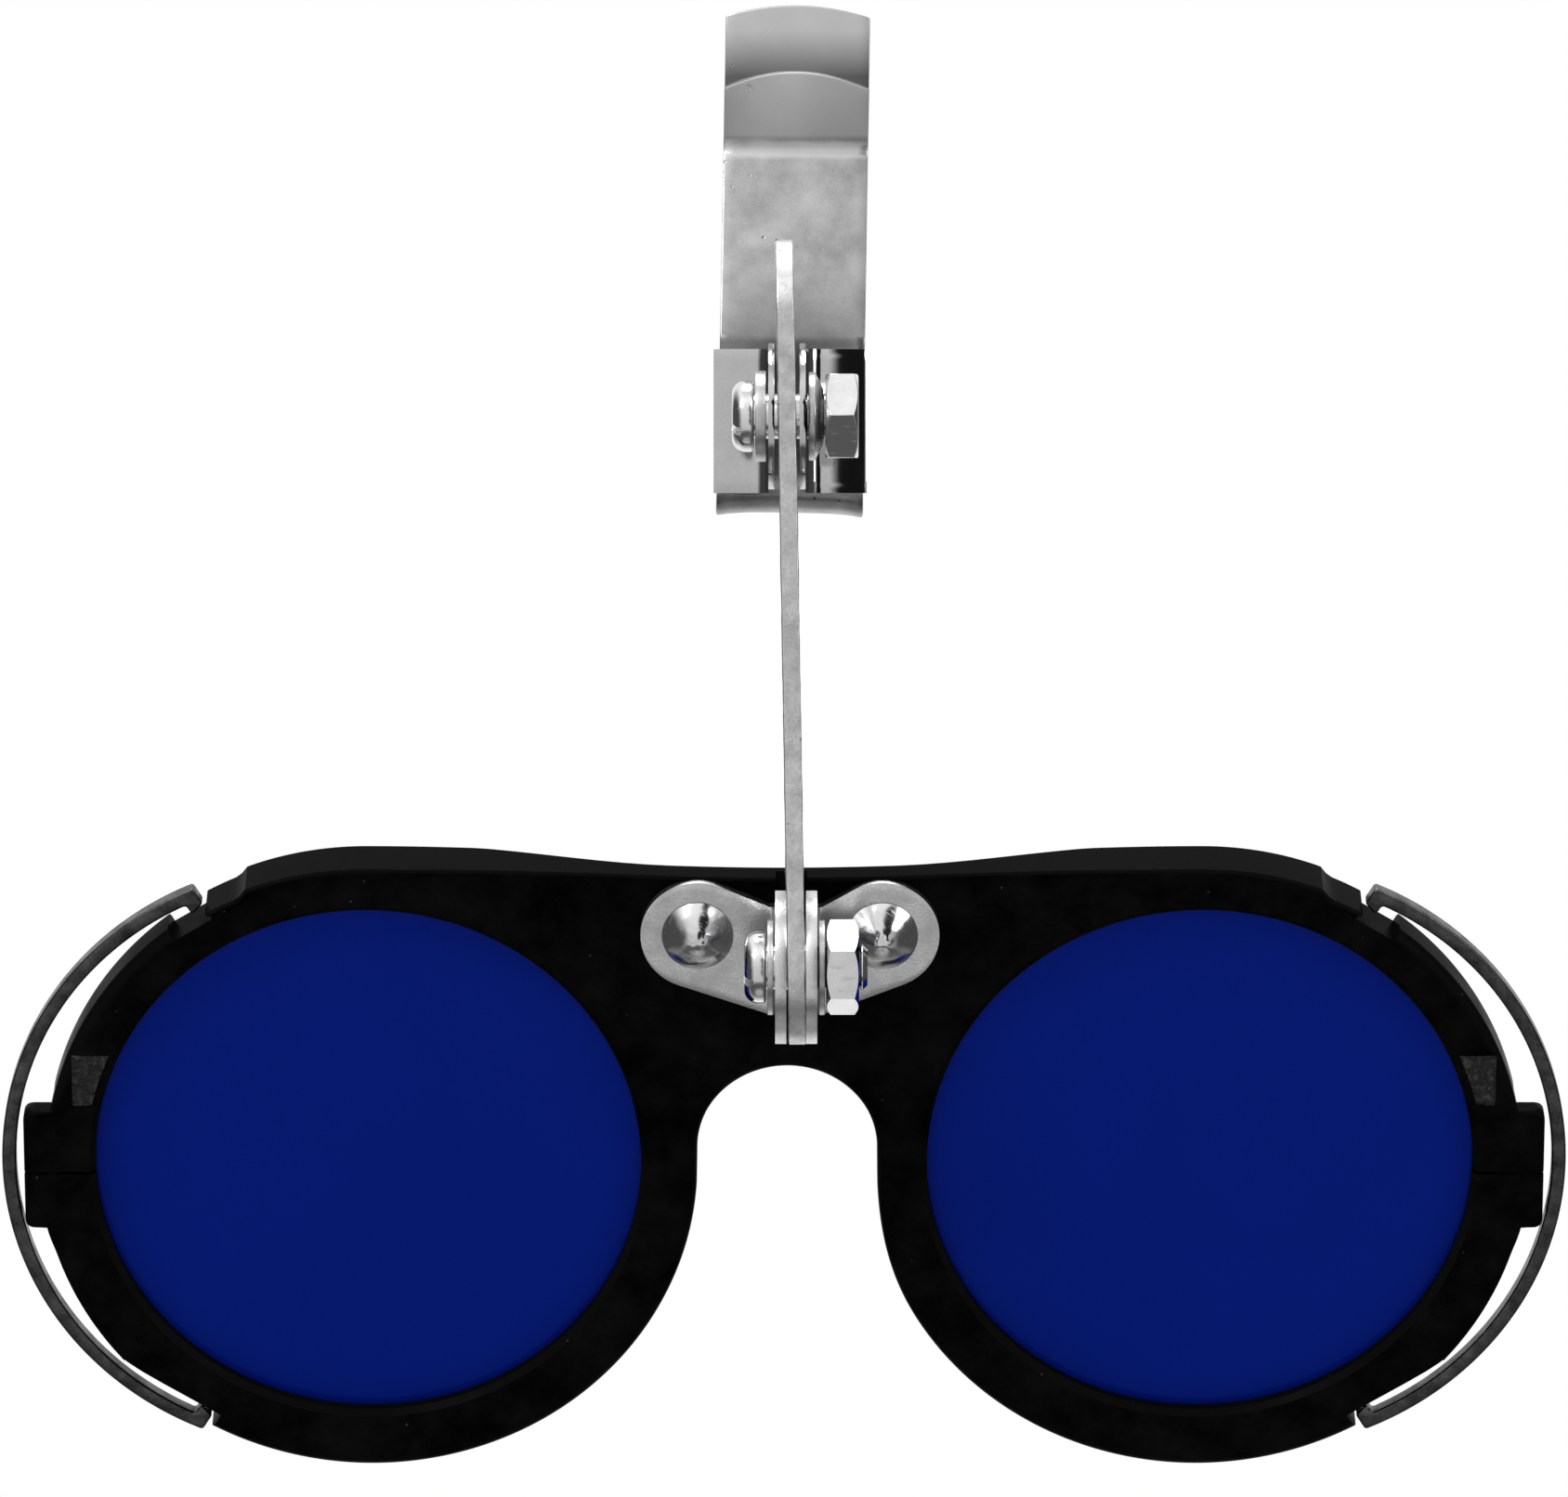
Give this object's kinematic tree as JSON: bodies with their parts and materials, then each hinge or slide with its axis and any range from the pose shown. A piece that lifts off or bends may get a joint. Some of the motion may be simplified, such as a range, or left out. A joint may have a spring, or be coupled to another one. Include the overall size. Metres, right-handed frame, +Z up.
{
  "type": "clip-on flip-up viewing glasses",
  "caption": "Deep blue round lenses in a black moulded frame that flips up on a flat hanging arm under a U-shaped spring clip for the peak of a cap or helmet.",
  "frame": {"origin": "bottom of the clip's throat, where the edge of the cap's peak sits, midway between the leaves and across the clip", "axes": "+X to the right as seen from outside, +Y towards the wearer, +Z up along the clip"},
  "size_m": [0.1326, 0.0362, 0.1241],
  "materials": {
    "spring_steel": "satin spring steel strip",
    "mirror_nickel": "mirror-bright nickel plate",
    "grain_nickel": "granular nickel plate",
    "zinc_plate": "dull zinc plate",
    "bright_steel": "bright plated steel",
    "arm_steel": "plated bar with sheared edges",
    "bow_steel": "dark spring strip",
    "black_moulding": "glossy black moulding",
    "cobalt_glass": "polished deep cobalt glass"
  },
  "bodies": {
    "clip": {"clip_front_leaf": "spring_steel", "upper_bracket_left": "mirror_nickel", "upper_bracket_right": "mirror_nickel"},
    "clip_jaw": {"clip_rear_leaf": "spring_steel"},
    "upper_pivot": {"upper_screw": "bright_steel", "upper_washer": "zinc_plate", "upper_spring_washer": "zinc_plate", "upper_nut": "bright_steel"},
    "arm": {"arm": "arm_steel"},
    "lens_carrier": {"lens_frame": "black_moulding", "lens_left": "cobalt_glass", "lens_right": "cobalt_glass", "lower_bracket_left": "grain_nickel", "lower_bracket_right": "grain_nickel", "rivet_left": "bright_steel", "rivet_right": "bright_steel", "rivet_washer_left": "zinc_plate", "rivet_washer_right": "zinc_plate", "lower_screw": "bright_steel", "lower_washer_left": "zinc_plate", "lower_washer_right": "zinc_plate", "lower_nut": "bright_steel"},
    "bow_left": {"bow_spring_left": "bow_steel"},
    "bow_right": {"bow_spring_right": "bow_steel"}
  },
  "joints": [
    {"name": "jaw_open", "type": "hinge", "parent": "clip", "child": "clip_jaw", "pos_m": [0, 0, -0.0003], "axis": [-1, 0, 0], "range_deg": [0, 8], "stiffness_Nm_per_rad": 0.1, "springref_deg": -5.73},
    {"name": "clip_swing", "type": "hinge", "parent": "clip", "child": "upper_pivot", "pos_m": [-0.00055, -0.0193, 0.0071], "axis": [-1, 0, 0], "range_deg": [-35, 100]},
    {"name": "arm_slide", "type": "slide", "parent": "upper_pivot", "child": "arm", "axis": [0.0166, 0, -0.9999], "range_m": [0, 0.01]},
    {"name": "lens_flip", "type": "hinge", "parent": "arm", "child": "lens_carrier", "pos_m": [0.00021, -0.0193, -0.03889], "axis": [-1, 0, 0], "range_deg": [0, 150]},
    {"name": "bow_release_left", "type": "hinge", "parent": "lens_carrier", "child": "bow_left", "pos_m": [-0.05007, -0.01036, -0.03405], "axis": [0, 0.9272, 0.3746], "range_deg": [0, 25]},
    {"name": "bow_release_right", "type": "hinge", "parent": "lens_carrier", "child": "bow_right", "pos_m": [0.04847, -0.01036, -0.03405], "axis": [0, -0.9272, -0.3746], "range_deg": [0, 25]}
  ]
}
